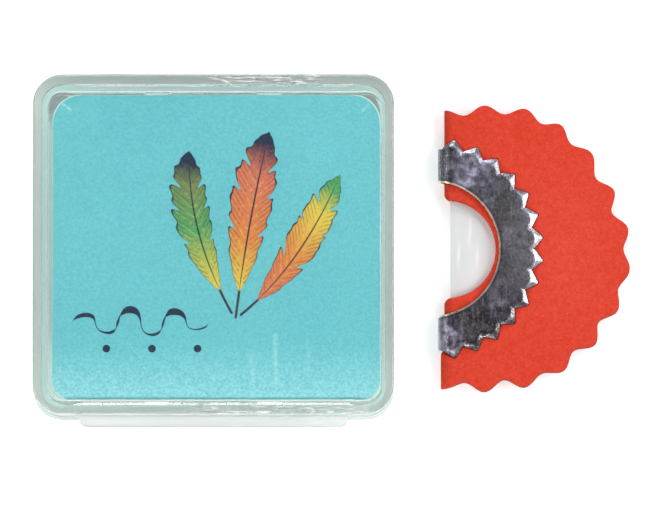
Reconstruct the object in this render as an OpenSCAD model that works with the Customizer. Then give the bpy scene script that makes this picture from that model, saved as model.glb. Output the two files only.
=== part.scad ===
// Half-moon bird call and the hinged clear case that it is kept in, lying side by side.
// The call is a scalloped red disc folded in two round a stretched film, and a toothed
// tin ring is folded over both and crimped. The case has a base, a lid on two thin
// moulded straps, and a printed card under the lid's clear top.

/* [Case] */
// Width of the closed case, side to side
case_w = 45; // [42:0.5:60]
// Depth of the closed case, front wall to back wall
case_d = 42.5; // [40:0.5:60]
// Height of the closed case
case_h = 9; // [8:0.5:14]
// Height of the line where the lid meets the base
part_z = 4.7; // [4:0.1:6]
// Radius of the four corners, seen from above
corner_r = 3.7; // [2.8:0.1:6]
// Rounding of the outer top and bottom edges
edge_r = 0.6; // [0.3:0.1:0.9]
// Thickness of the side walls
wall_t = 0.9; // [0.8:0.05:1.2]
// Thickness of the base's floor
floor_t = 1; // [0.8:0.1:1.6]
// Thickness of the lid's clear top
top_t = 1; // [0.8:0.1:1.6]
// Width of the rim that the case stands on
foot_w = 2.4; // [1.5:0.1:4]
// Depth of the shallow panel inside that rim
foot_h = 0.25; // [0.1:0.05:0.4]

/* [Lid lip] */
// Thickness of the lip that plugs into the base
lip_t = 0.8; // [0.7:0.05:1.2]
// How far the lip reaches down past the parting line
lip_reach = 1.4; // [1:0.1:2]
// Clearance between the lip and the base's walls
lip_gap = 0.15; // [0.12:0.01:0.2]
// Width of the latch bead on the front of the lip
latch_w = 14; // [8:1:26]
// Radius of the latch bead
latch_r = 0.35; // [0.25:0.05:0.45]
// How far the latch bead stands out of the lip
latch_out = 0.09; // [0.05:0.01:0.1]
// Clearance round the bead in the base's groove
latch_gap = 0.15; // [0.1:0.01:0.2]

/* [Thumb tab] */
// Width of the tab along the front wall
tab_w = 33.4; // [24:0.2:34]
// How far the tab stands out of the front wall
tab_out = 1.3; // [0.8:0.1:3]
// Thickness of the tab
tab_t = 0.9; // [0.6:0.1:1.4]
// Radius of the tab's two corners, seen from above
tab_corner_r = 1; // [0.4:0.1:1.2]
// Radius of the round relief at each end of the tab
relief_r = 0.55; // [0.3:0.05:0.7]
// How far the middle of that relief lies behind the front wall's face
relief_inset = 0.45; // [0.2:0.05:0.6]
// Height of the relief above the parting line
relief_h = 1.8; // [1:0.1:3]

/* [Hinge straps] */
// Width of each strap
strap_w = 3.6; // [2:0.2:6]
// Distance between the middles of the two straps
strap_spacing = 24.7; // [16:0.1:30]
// Thickness of the straps
strap_t = 0.3; // [0.2:0.05:0.4]
// Inner radius of the loop that each strap makes when the lid is shut
strap_bend_r = 0.15; // [0.1:0.05:0.25]

/* [Title card] */
// Thickness of the card
card_t = 0.4; // [0.2:0.05:0.6]
// Clearance beside the card, left and right
card_side_gap = 0.15; // [0.1:0.05:0.3]
// Clearance in front of the card
card_front_gap = 0.1; // [0.05:0.05:0.3]
// Clearance behind the card
card_back_gap = 0.4; // [0.1:0.05:0.45]
// Radius of the card's corners
card_corner_r = 2.5; // [2:0.1:4]
// Length of each nub that holds the card up
nub_len = 3; // [2:0.5:5]
// How far each nub stands out of the lip
nub_out = 0.7; // [0.6:0.05:0.9]
// Height of each nub at the lip
nub_h = 0.6; // [0.4:0.1:1]
// Distance between the two nubs on one side
nub_spacing = 14; // [8:1:20]
// Diameter of the ejector marks in the lid's corners
ejector_d = 2; // [1.4:0.2:3]
// Depth of the ejector marks
ejector_h = 0.06; // [0.03:0.01:0.1]
// Distance of the ejector marks from the lip's inner faces
ejector_inset = 2.3; // [2:0.1:5]

/* [Call skirt] */
// Radius of the disc, out to the tips of its scallops
skirt_r = 17.88; // [16.5:0.1:18.4]
// Depth of the scallops, tip to valley
scallop_h = 1.38; // [0.6:0.1:2]
// Angle from one scallop to the next
scallop_pitch = 16.7; // [12:0.1:24]
// Distance from the disc's centre to the folded edge
skirt_fold = 5.55; // [4:0.1:7]
// Thickness of one leaf of the folded disc
leaf_t = 1; // [0.7:0.05:1.3]
// Radius of the window over the film
window_r = 6.15; // [5:0.05:6.6]
// Distance from the folded edge to the window's centre
window_x = 0.25; // [0.1:0.05:0.6]
// Radius of the window's corners at the folded edge
window_corner_r = 1; // [0.6:0.1:1.4]
// How far each corner's round is cut short where it meets the folded edge
window_corner_cut = 0.1; // [0.05:0.05:0.2]

/* [Clamp ring] */
// Inner radius of the toothed ring
ring_in_r = 8.5; // [7.8:0.1:9]
// Radius at the roots of the teeth
ring_root_r = 12.7; // [12:0.1:13.4]
// Radius at the tips of the teeth
ring_tip_r = 13.86; // [13.5:0.1:14.6]
// Thickness of the tin
ring_t = 0.3; // [0.2:0.05:0.4]
// Distance that the ring's centre lies outside the disc's folded edge
ring_set = 1.6; // [0.8:0.1:2.2]
// How far the ring's own folds stand out past the disc's folded edge
ring_proud = 0.46; // [0.35:0.02:0.8]
// Teeth in a full turn
ring_teeth = 30; // [24:2:36]
// Slope of the teeth, bent down into the disc
tooth_slope = 20; // [12:1:28]
// Space between two teeth at their roots
tooth_gap = 0.14; // [0.08:0.02:0.3]
// How far the end teeth reach over the bend of the folds
end_tooth_over = 0.6; // [0.3:0.1:0.8]

/* [Film] */
// Thickness of the film
film_t = 0.1; // [0.05:0.01:0.2]
// Distance of the film's free edge behind the disc's folded edge
film_set = 0.73; // [0.5:0.01:0.9]
// How far the film reaches under the ring
film_grip = 2.1; // [1:0.1:3]

/* [Layout] */
// Space between the case and the call as they lie
call_gap = 5.82; // [2:0.1:20]

/* [Hidden] */
$fn = 96;

cut = 0.5; // overrun of every cut past the face that it opens
scallop_steps = 10; // straight pieces in one scallop of the outline

// Case, worked out from its driving sizes
lip_inset = wall_t + lip_gap;
bay_inset = lip_inset + lip_t;
bay_w = case_w - 2 * bay_inset;
bay_d = case_d - 2 * bay_inset;
card_w = bay_w - 2 * card_side_gap;
card_d = bay_d - card_front_gap - card_back_gap;
card_y = (card_front_gap - card_back_gap) / 2;
card_z = case_h - top_t - card_t;
latch_y = lip_inset - case_d / 2 + latch_r - latch_out;
latch_z = part_z - lip_reach / 2;
strap_out = strap_bend_r + strap_t;
front_y = -case_d / 2;
back_y = case_d / 2;

// Call, worked out in its own frame: the folded edge's middle, halfway up its thickness
fold_r = leaf_t + film_t / 2;
ring_fold_r = fold_r + ring_t;
ring_fold_x = ring_fold_r - ring_proud;
tooth_pitch = 360 / ring_teeth;
tooth_count = ring_teeth / 2 - 1;
ring_flat_r = ring_root_r * cos(tooth_pitch / 2);
tooth_w = 2 * ring_root_r * sin(tooth_pitch / 2) - tooth_gap;
tooth_drop = (ring_tip_r - ring_flat_r) * tan(tooth_slope);
window_corner_x = window_corner_r - window_corner_cut;
window_corner_y = sqrt(pow(window_r + window_corner_r, 2) - pow(window_corner_x - window_x, 2));
call_reach = skirt_fold + skirt_r * cos(scallop_pitch / 2);

// Places of the case and the call, so that the whole stands centred on the origin
set_w = case_w + call_gap + ring_proud + call_reach;
case_x = (case_w - set_w) / 2;
case_y = (tab_out - strap_out) / 2;
call_x = case_x + case_w / 2 + call_gap + ring_proud;
call_z = ring_fold_r;

// Keeps an inner corner round where a wall is thicker than the corner's radius
function inner_r(inset) = max(corner_r - inset, edge_r);

// Rectangle with round corners, centred
module plan(w, d, r) {
    square([w - 2 * r, d], center = true);
    square([w, d - 2 * r], center = true);
    for (x = [-1, 1], y = [-1, 1])
        translate([x * (w / 2 - r), y * (d / 2 - r)]) circle(r);
}

// Upright section of a block of width w and height h, its two top edges rounded
module crowned_section(w, h) {
    translate([-w / 2, 0]) square([w, h - edge_r]);
    translate([edge_r - w / 2, 0]) square([w - 2 * edge_r, h]);
    for (x = [-1, 1])
        translate([x * (w / 2 - edge_r), h - edge_r]) circle(edge_r);
}

// Block with round corners and a rounded top edge, standing on the ground
module crowned_block(w, d, h) {
    rotate([90, 0, 0])
        linear_extrude(d - 2 * corner_r, center = true) crowned_section(w, h);
    rotate([90, 0, 90])
        linear_extrude(w - 2 * corner_r, center = true) crowned_section(d, h);
    for (turn = [0, 1, 2, 3]) {
        x = turn == 0 || turn == 3 ? w / 2 - corner_r : corner_r - w / 2;
        y = turn < 2 ? d / 2 - corner_r : corner_r - d / 2;
        translate([x, y, 0]) rotate(turn * 90) rotate_extrude(angle = 90)
            intersection() {
                crowned_section(2 * corner_r, h);
                square([corner_r, h]);
            }
    }
}

// Half-round loop that leaves the base's back wall and returns to the lid's
module hinge_strap(side) {
    color("lightcyan", 0.45)
        translate([case_x + side * strap_spacing / 2 - strap_w / 2, case_y + back_y, part_z])
        rotate([90, 0, 90]) rotate(-90) rotate_extrude(angle = 180)
        translate([strap_bend_r, 0]) square([strap_t, strap_w]);
}

module case_base() {
    color("lightcyan", 0.45) translate([case_x, case_y, 0]) difference() {
        translate([0, 0, part_z]) mirror([0, 0, 1]) crowned_block(case_w, case_d, part_z);
        translate([0, 0, floor_t]) linear_extrude(part_z)
            plan(case_w - 2 * wall_t, case_d - 2 * wall_t, inner_r(wall_t));
        translate([0, 0, foot_h - cut]) linear_extrude(cut)
            plan(case_w - 2 * (edge_r + foot_w), case_d - 2 * (edge_r + foot_w), inner_r(foot_w));
        latch_bar(latch_w + 2 * latch_gap, latch_r + latch_gap);
    }
}

// Round bar along the front wall, for the lip's bead and for its groove in the base
module latch_bar(w, r) {
    translate([0, latch_y, latch_z]) rotate([0, 90, 0]) cylinder(h = w, r = r, center = true);
}

// Wedge with a flat top, standing out of the lip's inner face along +Y
module card_nub() {
    rotate([90, 0, 90]) linear_extrude(nub_len, center = true)
        polygon([[-lip_t / 2, 0], [nub_out, 0], [nub_out, -nub_h / 4], [0, -nub_h], [-lip_t / 2, -nub_h]]);
}

module thumb_tab() {
    translate([0, front_y, part_z]) linear_extrude(tab_t) difference() {
        translate([0, (lip_t - tab_out) / 2])
            plan(tab_w, tab_out + lip_t, tab_corner_r);
        translate([-tab_w / 2, wall_t]) square([tab_w, lip_t]);
    }
}

module case_lid() {
    color("lightcyan", 0.45) translate([case_x, case_y, 0]) {
        difference() {
            union() {
                translate([0, 0, part_z]) crowned_block(case_w, case_d, case_h - part_z);
                translate([0, 0, part_z - lip_reach]) linear_extrude(lip_reach + wall_t)
                    plan(case_w - 2 * lip_inset, case_d - 2 * lip_inset, inner_r(lip_inset));
                latch_bar(latch_w, latch_r);
                thumb_tab();
            }
            translate([0, 0, part_z - lip_reach - cut])
                linear_extrude(case_h - top_t - part_z + lip_reach + cut)
                plan(bay_w, bay_d, inner_r(bay_inset));
            for (side = [-1, 1])
                translate([side * (tab_w / 2 + relief_r / 2), front_y + relief_inset, part_z - cut])
                    cylinder(h = relief_h + cut, r = relief_r);
            for (x = [-1, 1], y = [-1, 1])
                translate([x * (bay_w / 2 - ejector_inset), y * (bay_d / 2 - ejector_inset), card_z])
                    cylinder(h = card_t + ejector_h, d = ejector_d);
        }
        for (side = [0, 1], x = [-1, 1])
            rotate(side * 180) translate([x * nub_spacing / 2, -bay_d / 2, card_z]) card_nub();
    }
}

module title_card() {
    color("mediumturquoise") translate([case_x, case_y + card_y, card_z])
        linear_extrude(card_t) plan(card_w, card_d, card_corner_r);
}

// Outline of the disc: a circle whose radius swings between valley and tip
function scallop_point(angle) =
    (skirt_r - scallop_h / 2 + scallop_h / 2 * cos(360 * (angle / scallop_pitch - 0.5)))
    * [cos(angle), sin(angle)];

module skirt_plan() {
    last = ceil(120 / scallop_pitch) * scallop_steps;
    difference() {
        intersection() {
            translate([skirt_fold, 0])
                polygon([for (i = [-last : last]) scallop_point(i * scallop_pitch / scallop_steps)]);
            translate([0, -skirt_r]) square([call_reach + skirt_r, 2 * skirt_r]);
        }
        translate([window_x, 0]) circle(window_r);
        for (side = [0, 1]) mirror([0, side]) difference() {
            polygon([
                [-cut, 0], [window_x, 0],
                [window_corner_x, window_corner_y], [-cut, window_corner_y]
            ]);
            translate([window_corner_x, window_corner_y]) circle(window_corner_r);
        }
    }
}

// Solid of a sheet folded in two round a half-round edge of radius r at x
module folded_slab(r, x) {
    translate([x, -skirt_r, -r]) cube([call_reach + skirt_r, 2 * skirt_r, 2 * r]);
    translate([x, 0, 0]) rotate([90, 0, 0]) cylinder(h = 2 * skirt_r, r = r, center = true);
}

module call_skirt() {
    color("orangered") translate([call_x, case_y, call_z]) difference() {
        intersection() {
            translate([0, 0, -ring_fold_r]) linear_extrude(2 * ring_fold_r) skirt_plan();
            folded_slab(fold_r, fold_r);
        }
        translate([film_set, -skirt_r, -film_t / 2])
            cube([call_reach + skirt_r, 2 * skirt_r, film_t]);
        for (face = [0, 1]) mirror([0, 0, face]) teeth_row() dent_section();
    }
}

// Section of a tooth, from inside the ring's sheet to its tip, bent down at the root
module tooth_section() {
    polygon([
        [ring_flat_r - ring_t, fold_r], [ring_flat_r, fold_r],
        [ring_tip_r, fold_r - tooth_drop], [ring_tip_r, ring_fold_r - tooth_drop],
        [ring_flat_r, ring_fold_r], [ring_flat_r - ring_t, ring_fold_r]
    ]);
}

// Section of the dent under a tooth, open at the leaf's face
module dent_section() {
    polygon([
        [ring_flat_r - ring_t, fold_r + ring_t * tan(tooth_slope)],
        [ring_tip_r, fold_r - tooth_drop],
        [ring_tip_r, ring_fold_r + cut], [ring_flat_r - ring_t, ring_fold_r + cut]
    ]);
}

// The section passed in, cut to a tooth's pointed outline, once for each tooth of a face
module teeth_row() {
    intersection() {
        for (i = [0 : tooth_count - 1])
            translate([-ring_set, 0, 0]) rotate((i - (tooth_count - 1) / 2) * tooth_pitch)
            intersection() {
                linear_extrude(ring_fold_r + cut) polygon([
                    [ring_flat_r - ring_t, -tooth_w / 2], [ring_flat_r, -tooth_w / 2],
                    [ring_tip_r, 0],
                    [ring_flat_r, tooth_w / 2], [ring_flat_r - ring_t, tooth_w / 2]
                ]);
                rotate([90, 0, 0]) linear_extrude(2 * tooth_w, center = true) children();
            }
        translate([ring_fold_x - end_tooth_over, -skirt_r, 0])
            cube([skirt_r, 2 * skirt_r, ring_fold_r + cut]);
    }
}

// Outline of the flat ring, with a straight side behind each tooth
module ring_plan() {
    translate([-ring_set, 0]) difference() {
        polygon([
            for (i = [1 : ring_teeth])
                ring_root_r * [cos((i - 0.5) * tooth_pitch), sin((i - 0.5) * tooth_pitch)]
        ]);
        circle(ring_in_r);
    }
}

module clamp_ring() {
    color("slategray") translate([call_x, case_y, call_z]) {
        difference() {
            intersection() {
                translate([0, 0, -ring_fold_r - cut])
                    linear_extrude(2 * (ring_fold_r + cut)) ring_plan();
                folded_slab(ring_fold_r, ring_fold_x);
            }
            folded_slab(fold_r, ring_fold_x);
        }
        for (face = [0, 1]) mirror([0, 0, face]) intersection() {
            teeth_row() tooth_section();
            folded_slab(ring_fold_r, ring_fold_x);
        }
    }
}

module call_film() {
    color("whitesmoke", 0.8) translate([call_x, case_y, call_z - film_t / 2])
        linear_extrude(film_t) intersection() {
            translate([-ring_set, 0]) circle(ring_in_r + film_grip);
            translate([film_set, -skirt_r]) square([skirt_r, 2 * skirt_r]);
        }
}

case_base();
case_lid();
hinge_strap(-1);  // hinge_strap_left
hinge_strap(1);  // hinge_strap_right
title_card();
call_skirt();
clamp_ring();
call_film();
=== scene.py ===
import math

import bmesh
import bpy
import numpy as np
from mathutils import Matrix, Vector


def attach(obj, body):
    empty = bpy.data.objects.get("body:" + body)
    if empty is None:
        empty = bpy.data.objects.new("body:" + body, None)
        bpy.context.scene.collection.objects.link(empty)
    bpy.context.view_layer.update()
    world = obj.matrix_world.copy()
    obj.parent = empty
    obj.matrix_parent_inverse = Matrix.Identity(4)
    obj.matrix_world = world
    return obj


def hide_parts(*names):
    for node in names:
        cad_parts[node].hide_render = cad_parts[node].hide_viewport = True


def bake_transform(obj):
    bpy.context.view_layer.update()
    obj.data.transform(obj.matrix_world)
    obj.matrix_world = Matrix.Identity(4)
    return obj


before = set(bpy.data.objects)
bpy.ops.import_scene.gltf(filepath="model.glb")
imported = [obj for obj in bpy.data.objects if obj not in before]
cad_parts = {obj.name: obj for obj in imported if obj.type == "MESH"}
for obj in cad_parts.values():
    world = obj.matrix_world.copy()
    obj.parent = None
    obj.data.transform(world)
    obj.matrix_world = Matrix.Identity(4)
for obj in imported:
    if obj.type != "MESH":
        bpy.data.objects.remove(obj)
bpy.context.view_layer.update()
MM = 0.001
scene = bpy.context.scene

# ---------------------------------------------------------------- Camera
# The photograph is taken from almost straight above with a long lens, the camera leaning
# a few degrees toward the front of the case, so that the front walls just show.
field_width, camera_distance, case_top, sensor = 82.63 * MM, 2400 * MM, 9 * MM, 36
look_at, elevation = Vector((0, -1.21, 0)) * MM, math.radians(84.1)
back = Vector((0, -math.cos(elevation), math.sin(elevation)))


def placed(name, data):
    """A new object in the scene, at the origin."""
    thing = bpy.data.objects.new(name, data)
    scene.collection.objects.link(thing)
    return thing


camera = placed("camera", bpy.data.cameras.new("camera"))
camera.location = look_at + back * camera_distance
camera.rotation_euler = (-back).to_track_quat("-Z", "Y").to_euler()
camera.data.sensor_width = sensor
camera.data.lens = sensor * (camera_distance - case_top) / field_width
camera.data.clip_start, camera.data.clip_end = 0.1, 20
scene.camera = camera

# ---------------------------------------------------------------- Clear tray
# The base is a shallow tray moulded in one shot from clear, faintly green styrene, with
# polished faces, a rim to stand on and a groove in the front wall that the lid snaps into.
case_mid = Vector((-14.7602, 0.425))
case_w, case_d, part_z, wall = 45, 42.5, 4.7, 0.9
corner_r, least_r, edge_r, floor_fillet = 3.7, 0.7, 0.6, 0.35
foot_in, foot_h, floor_z = edge_r + 2.4, 0.25, 1.0
rim_gap = 0.03  # light shows through the joint between the two halves
latch_out, latch_z, groove_r, groove_w = 19.94, 4.0, 0.5, 14.3


def round_line(middle, size, corners, inset, z, steps=20):
    """Points in mm round a rectangle with four round corners, moved in from it by inset."""
    points = []
    for k, (sx, sy) in enumerate([(1, 1), (-1, 1), (-1, -1), (1, -1)]):
        r = max(corners[k] - inset, least_r)
        for i in range(steps + 1):
            a = math.radians(90) * (k + i / steps)
            points.append((
                middle[0] + sx * (size[0] / 2 - inset - r) + r * math.cos(a),
                middle[1] + sy * (size[1] / 2 - inset - r) + r * math.sin(a), z,
            ))
    return points


def rim_line(inset, z, forward=0, right=0, wider=0):
    """Points in mm round the case, moved in by inset; the last three move the line sideways."""
    middle = (case_mid.x + right, case_mid.y - forward)
    return round_line(middle, (case_w + 2 * wider, case_d), [corner_r] * 4, inset, z)


def quarter(inset, z, r, start, end, steps=7):
    """Rounded edge of a section: (inset, z) points of an arc, its angles in degrees."""
    angles = [math.radians(start + (end - start) * i / steps) for i in range(steps + 1)]
    return [(inset - r * math.cos(a), z + r * math.sin(a)) for a in angles]


def shade(mesh, smooth_angle):
    """Smooth shading, but for the edges that turn by more than so many degrees."""
    mesh.polygons.foreach_set("use_smooth", [True] * len(mesh.polygons))
    mesh.set_sharp_from_angle(angle=math.radians(smooth_angle))


def new_piece(name, points, faces, smooth_angle=None):
    """A mesh object at the origin from points in mm."""
    mesh = bpy.data.meshes.new(name)
    mesh.from_pydata([tuple(c * MM for c in p) for p in points], [], faces)
    mesh.validate()
    if smooth_angle is not None:
        shade(mesh, smooth_angle)
    return placed(name, mesh)


def ring_shell(name, rings, smooth_angle=None):
    """Closed shell through rings of equally many points, with a face over both end rings."""
    count, last = len(rings[0]), len(rings) - 1
    faces = [list(range(count))[::-1], [last * count + i for i in range(count)]]
    for k in range(last):
        for i in range(count):
            j = (i + 1) % count
            faces.append([k * count + i, k * count + j, (k + 1) * count + j, (k + 1) * count + i])
    return new_piece(name, [p for ring in rings for p in ring], faces, smooth_angle)


def pin(name, centre, radius, length, axis, sides=48):
    """Round pin in mm, along x or z."""
    shape = bmesh.new()
    bmesh.ops.create_cone(
        shape, cap_ends=True, segments=sides, radius1=radius * MM, radius2=radius * MM,
        depth=length * MM,
    )
    mesh = bpy.data.meshes.new(name)
    shape.to_mesh(mesh)
    shape.free()
    for v in mesh.vertices:
        x, y, z = v.co
        v.co = Vector((z, y, -x) if axis == "x" else (x, y, z)) + Vector(centre) * MM
    return placed(name, mesh)


def keep_shape(piece):
    """Turns what a piece's modifiers make into its plain mesh."""
    graph = bpy.context.evaluated_depsgraph_get()
    mesh = bpy.data.meshes.new_from_object(piece.evaluated_get(graph))
    piece.modifiers.clear()
    piece.data = mesh


def machine(piece, cutters, operation, smooth_angle=30):
    """Adds or cuts the given shapes, which are then deleted, and sets the shading."""
    for cutter in cutters:
        change = piece.modifiers.new("shape", "BOOLEAN")
        change.operation, change.solver, change.object = operation, "EXACT", cutter
    keep_shape(piece)
    for cutter in cutters:
        bpy.data.objects.remove(cutter)
    shade(piece.data, smooth_angle)


class Sum:
    """A value that a node tree works out at each point, so that formulas can be written as such."""

    def __init__(self, socket):
        self.tree, self.socket = socket.id_data, socket

    def do(self, operation, *others):
        node = self.tree.nodes.new("ShaderNodeMath")
        node.operation = operation
        for place, value in zip(node.inputs, (self, *others)):
            feed(place, value)
        return Sum(node.outputs[0])

    def __add__(self, other):
        return self.do("ADD", other)

    def __sub__(self, other):
        return self.do("SUBTRACT", other)

    def __mul__(self, other):
        return self.do("MULTIPLY", other)

    def __truediv__(self, other):
        return self.do("DIVIDE", other)


def feed(place, value):
    """Gives an input a worked-out value, another node's output, or a plain number or colour."""
    value = value.socket if isinstance(value, Sum) else value
    if isinstance(value, bpy.types.NodeSocket):
        place.id_data.links.new(value, place)
    else:
        place.default_value = (*value, 1) if place.type == "RGBA" else value


def set_up(node, **inputs):
    """Feeds the named inputs of a node, with _ for a space in a name, and returns the node."""
    for name, value in inputs.items():
        feed(node.inputs[name.replace("_", " ")], value)
    return node


def finish_of(name, **inputs):
    """A new material whose main shader has these inputs; returns it with its tree and shader."""
    material = bpy.data.materials.new(name)
    material.use_nodes = True
    tree = material.node_tree
    return material, tree, set_up(tree.nodes["Principled BSDF"], **inputs)


def see_through(shader, share, colour=(1, 1, 1)):
    """Lets a share of the light straight through a finish, tinted by a colour."""
    tree = shader.id_data
    clear = set_up(tree.nodes.new("ShaderNodeBsdfTransparent"), Color=colour)
    mix = set_up(tree.nodes.new("ShaderNodeMixShader"), Fac=share)
    feed(mix.inputs[1], shader.outputs["BSDF"])
    feed(mix.inputs[2], clear.outputs["BSDF"])
    set_up(tree.nodes["Material Output"], Surface=mix.outputs["Shader"])


def mottle(tree, grain, low=0, high=1, detail=4, stretch=(1, 1, 1), sharp=(0.3, 0.7)):
    """Noise whose grains are so many mm across, spread from low to high."""
    place = tree.nodes.new("ShaderNodeTexCoord").outputs["Object"]
    scale = set_up(tree.nodes.new("ShaderNodeMapping"), Vector=place, Scale=stretch)
    noise = set_up(
        tree.nodes.new("ShaderNodeTexNoise"), Vector=scale.outputs["Vector"],
        Scale=1 / (grain * MM), Detail=detail,
    )
    spread = set_up(
        tree.nodes.new("ShaderNodeMapRange"), Value=noise.outputs["Fac"], From_Min=sharp[0],
        From_Max=sharp[1], To_Min=low, To_Max=high,
    )
    return Sum(spread.outputs["Result"])


def relief(shader, height, depth, under=None):
    """Bump of so many mm on the shader, on top of another bump if one is given."""
    bump = shader.id_data.nodes.new("ShaderNodeBump")
    set_up(bump, Distance=depth * MM, Height=height)
    if under:
        set_up(bump, Normal=under.outputs["Normal"])
    set_up(shader, Normal=bump.outputs["Normal"])
    return bump


def paint(colour, *coats):
    """Lays coats over a colour in turn, each a share from 0 to 1 and a colour of its own."""
    for share, coat in coats:
        tree = next(value.tree for value in (share, colour, coat) if isinstance(value, Sum))
        mix = tree.nodes.new("ShaderNodeMix")
        mix.data_type = "RGBA"
        for name, value in (("Factor", share), ("A", colour), ("B", coat)):
            feed([s for s in mix.inputs if s.name == name and s.enabled][0], value)
        colour = Sum([s for s in mix.outputs if s.enabled][0])
    return colour


def here_in(tree):
    """The place in mm of each point of a surface."""
    place = tree.nodes.new("ShaderNodeTexCoord").outputs["Object"]
    split = set_up(tree.nodes.new("ShaderNodeSeparateXYZ"), Vector=place)
    return [Sum(split.outputs[axis]) / MM for axis in "XYZ"]


def depth_in(tree, middle, width, depth, corner):
    """How many mm a point lies inside a rectangle with round corners."""
    x, y, _ = here_in(tree)
    past_x = (x - middle.x).do("ABSOLUTE") - (width / 2 - corner)
    past_y = (y - middle.y).do("ABSOLUTE") - (depth / 2 - corner)
    out_x, out_y = past_x.do("MAXIMUM", 0), past_y.do("MAXIMUM", 0)
    out = (out_x * out_x + out_y * out_y).do("SQRT")
    return out * -1 - past_x.do("MAXIMUM", past_y).do("MINIMUM", 0) + corner


def from_to(value, start, end):
    """0 before one value and 1 past another, which may lie either way of it."""
    return ((value - start) / (end - start)).do("MAXIMUM", 0).do("MINIMUM", 1)


styrene, tree, shader = finish_of("clear_styrene", Transmission_Weight=1.0, IOR=1.5)
x, y, z = here_in(tree)
inward = depth_in(tree, case_mid, case_w, case_d, corner_r)
# The outer rim: its roughness is haze from handling, and its greyer tint further down is painted
# shade.
rim_haze_and_shade = inward + from_to(x, -30, -36) * 0.12 - from_to(y, 15, 20) * 0.15
rim_haze_and_shade = from_to(rim_haze_and_shade, 1.07, 0.95)
seam = from_to((z - part_z).do("ABSOLUTE"), 0.16, 0.04)
cloudy_front = from_to(y, -17.6, -19.2) * from_to(z, 8.7, 8.4)
# Painted shade: the tray floor round the edge of the bay and the faces just under the card, nubs
# among them, are darkened, less so along the side walls.
bay_shade = from_to(z, 1.4, 1.3) * from_to(inward, 1.7, 1.95) * from_to(inward, 5.5, 2.4)
bay_shade = bay_shade * from_to(y, -15, -9)
shade_under_card = from_to(z, 6.2, 6.4) * from_to(z, 7.7, 7.62) * from_to(inward, 1.95, 2.05)
bay_shade = bay_shade.do("MAXIMUM", shade_under_card * from_to(inward, 3.4, 3.2))
side_gap = from_to((x - case_mid.x).do("ABSOLUTE"), 19, 19.5)
side_gap = side_gap * from_to((y - case_mid.y).do("ABSOLUTE"), 17.8, 15)
bay_shade = bay_shade * (side_gap * -0.65 + 1)
rear_rub = from_to(x, -16.5, -13.5) * from_to(x, -0.5, -2.5) * from_to(y, 20.15, 20.5)
front_rub = from_to(y, -19.75, -20.1) * from_to(x, -19, -14) * from_to(x, 6, 3)
rubbed = rear_rub.do("MAXIMUM", front_rub) * from_to(z, 8.2, 8.6)
chafed = mottle(tree, 0.22, detail=3, stretch=(0.14, 1, 1), sharp=(0.50, 0.66)) * rubbed

body_tint = set_up(
    tree.nodes.new("ShaderNodeVolumeAbsorption"), Color=(0.55, 0.655, 0.63), Density=60,
)
set_up(tree.nodes["Material Output"], Volume=body_tint.outputs["Volume"])
haze = mottle(tree, 9, 0.04, 0.13, detail=3)
set_up(
    shader, Roughness=haze + rim_haze_and_shade * 0.07 + seam * 0.30 + cloudy_front * 0.23,
    Transmission_Weight=chafed * -0.8 + 1,
)
# Painted shade on the outer rim: a grey tint, painted darker again toward the right side.
rim_tint_shaded_right = paint((0.945, 0.94, 0.93), (from_to(x, 3.5, 6.5), (0.88, 0.88, 0.87)))
set_up(shader, Base_Color=paint(
    (0.82, 0.91, 0.895), (rim_haze_and_shade, rim_tint_shaded_right), (from_to(y, 20.5, 20.9) * 0.8, (0.86, 0.875, 0.865)),
    (from_to(y, -20.85, -20.95), (1, 0.985, 0.985)), (chafed, (0.97, 0.94, 0.91)),
    (bay_shade, (0.47, 0.475, 0.49)),
))
panel = from_to(inward, 1.9, 2.8) * from_to(z, 8.5, 8.8)
flow = relief(shader, mottle(tree, 6, detail=1) * (panel * -0.75 + 1), 0.05)
polish = relief(shader, mottle(tree, 0.7, detail=2), 0.002, flow)
nicks = mottle(tree, 0.42, detail=2, stretch=(0.25, 1, 1)) * rubbed
relief(shader, nicks, 0.05, polish)
lamp_ray = tree.nodes.new("ShaderNodeLightPath").outputs["Is Shadow Ray"]
see_through(shader, lamp_ray, (0.66, 0.70, 0.69))

base_top = part_z - rim_gap
base_section = [
    (foot_in + 0.3, foot_h), (foot_in + 0.05, foot_h), (foot_in, foot_h - 0.05),
    (foot_in, 0.05), (foot_in - 0.05, 0),
    *quarter(edge_r, edge_r, edge_r, -90, 0),
    (0, base_top - 0.08), (0.02, base_top - 0.02), (0.08, base_top),
    (wall - 0.08, base_top), (wall - 0.02, base_top - 0.02), (wall, base_top - 0.08),
    *quarter(wall + floor_fillet, floor_z + floor_fillet, floor_fillet, 0, -90, 6),
    (wall + 0.6, floor_z),
]
groove = pin("groove", (case_mid.x, case_mid.y - latch_out, latch_z), groove_r, groove_w, "x")
tray = ring_shell("clear_tray", [rim_line(*point) for point in base_section])
machine(tray, [groove], "DIFFERENCE")
tray.data.materials.append(styrene)
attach(tray, "base")
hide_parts("case_base")

# ---------------------------------------------------------------- Hinge straps
# Two thin straps of the same styrene are moulded with both halves. They are built curled out
# of the back wall in a half loop, as when the lid is shut; open, they lie almost flat.
strap_w, strap_t, strap_bend, strap_spacing, turns = 3.6, 0.3, 0.15, 24.7, 28
back_y = case_mid.y + case_d / 2 + 0.002
section = [
    (0.04, 0), (0, 0.04), (0, strap_t - 0.04), (0.04, strap_t), (strap_w - 0.04, strap_t),
    (strap_w, strap_t - 0.04), (strap_w, 0.04), (strap_w - 0.04, 0),
]


def face_outward(piece):
    """Turns all the faces of a closed piece outward."""
    shape = bmesh.new()
    shape.from_mesh(piece.data)
    bmesh.ops.recalc_face_normals(shape, faces=shape.faces)
    shape.to_mesh(piece.data)
    shape.free()
    return piece


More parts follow.
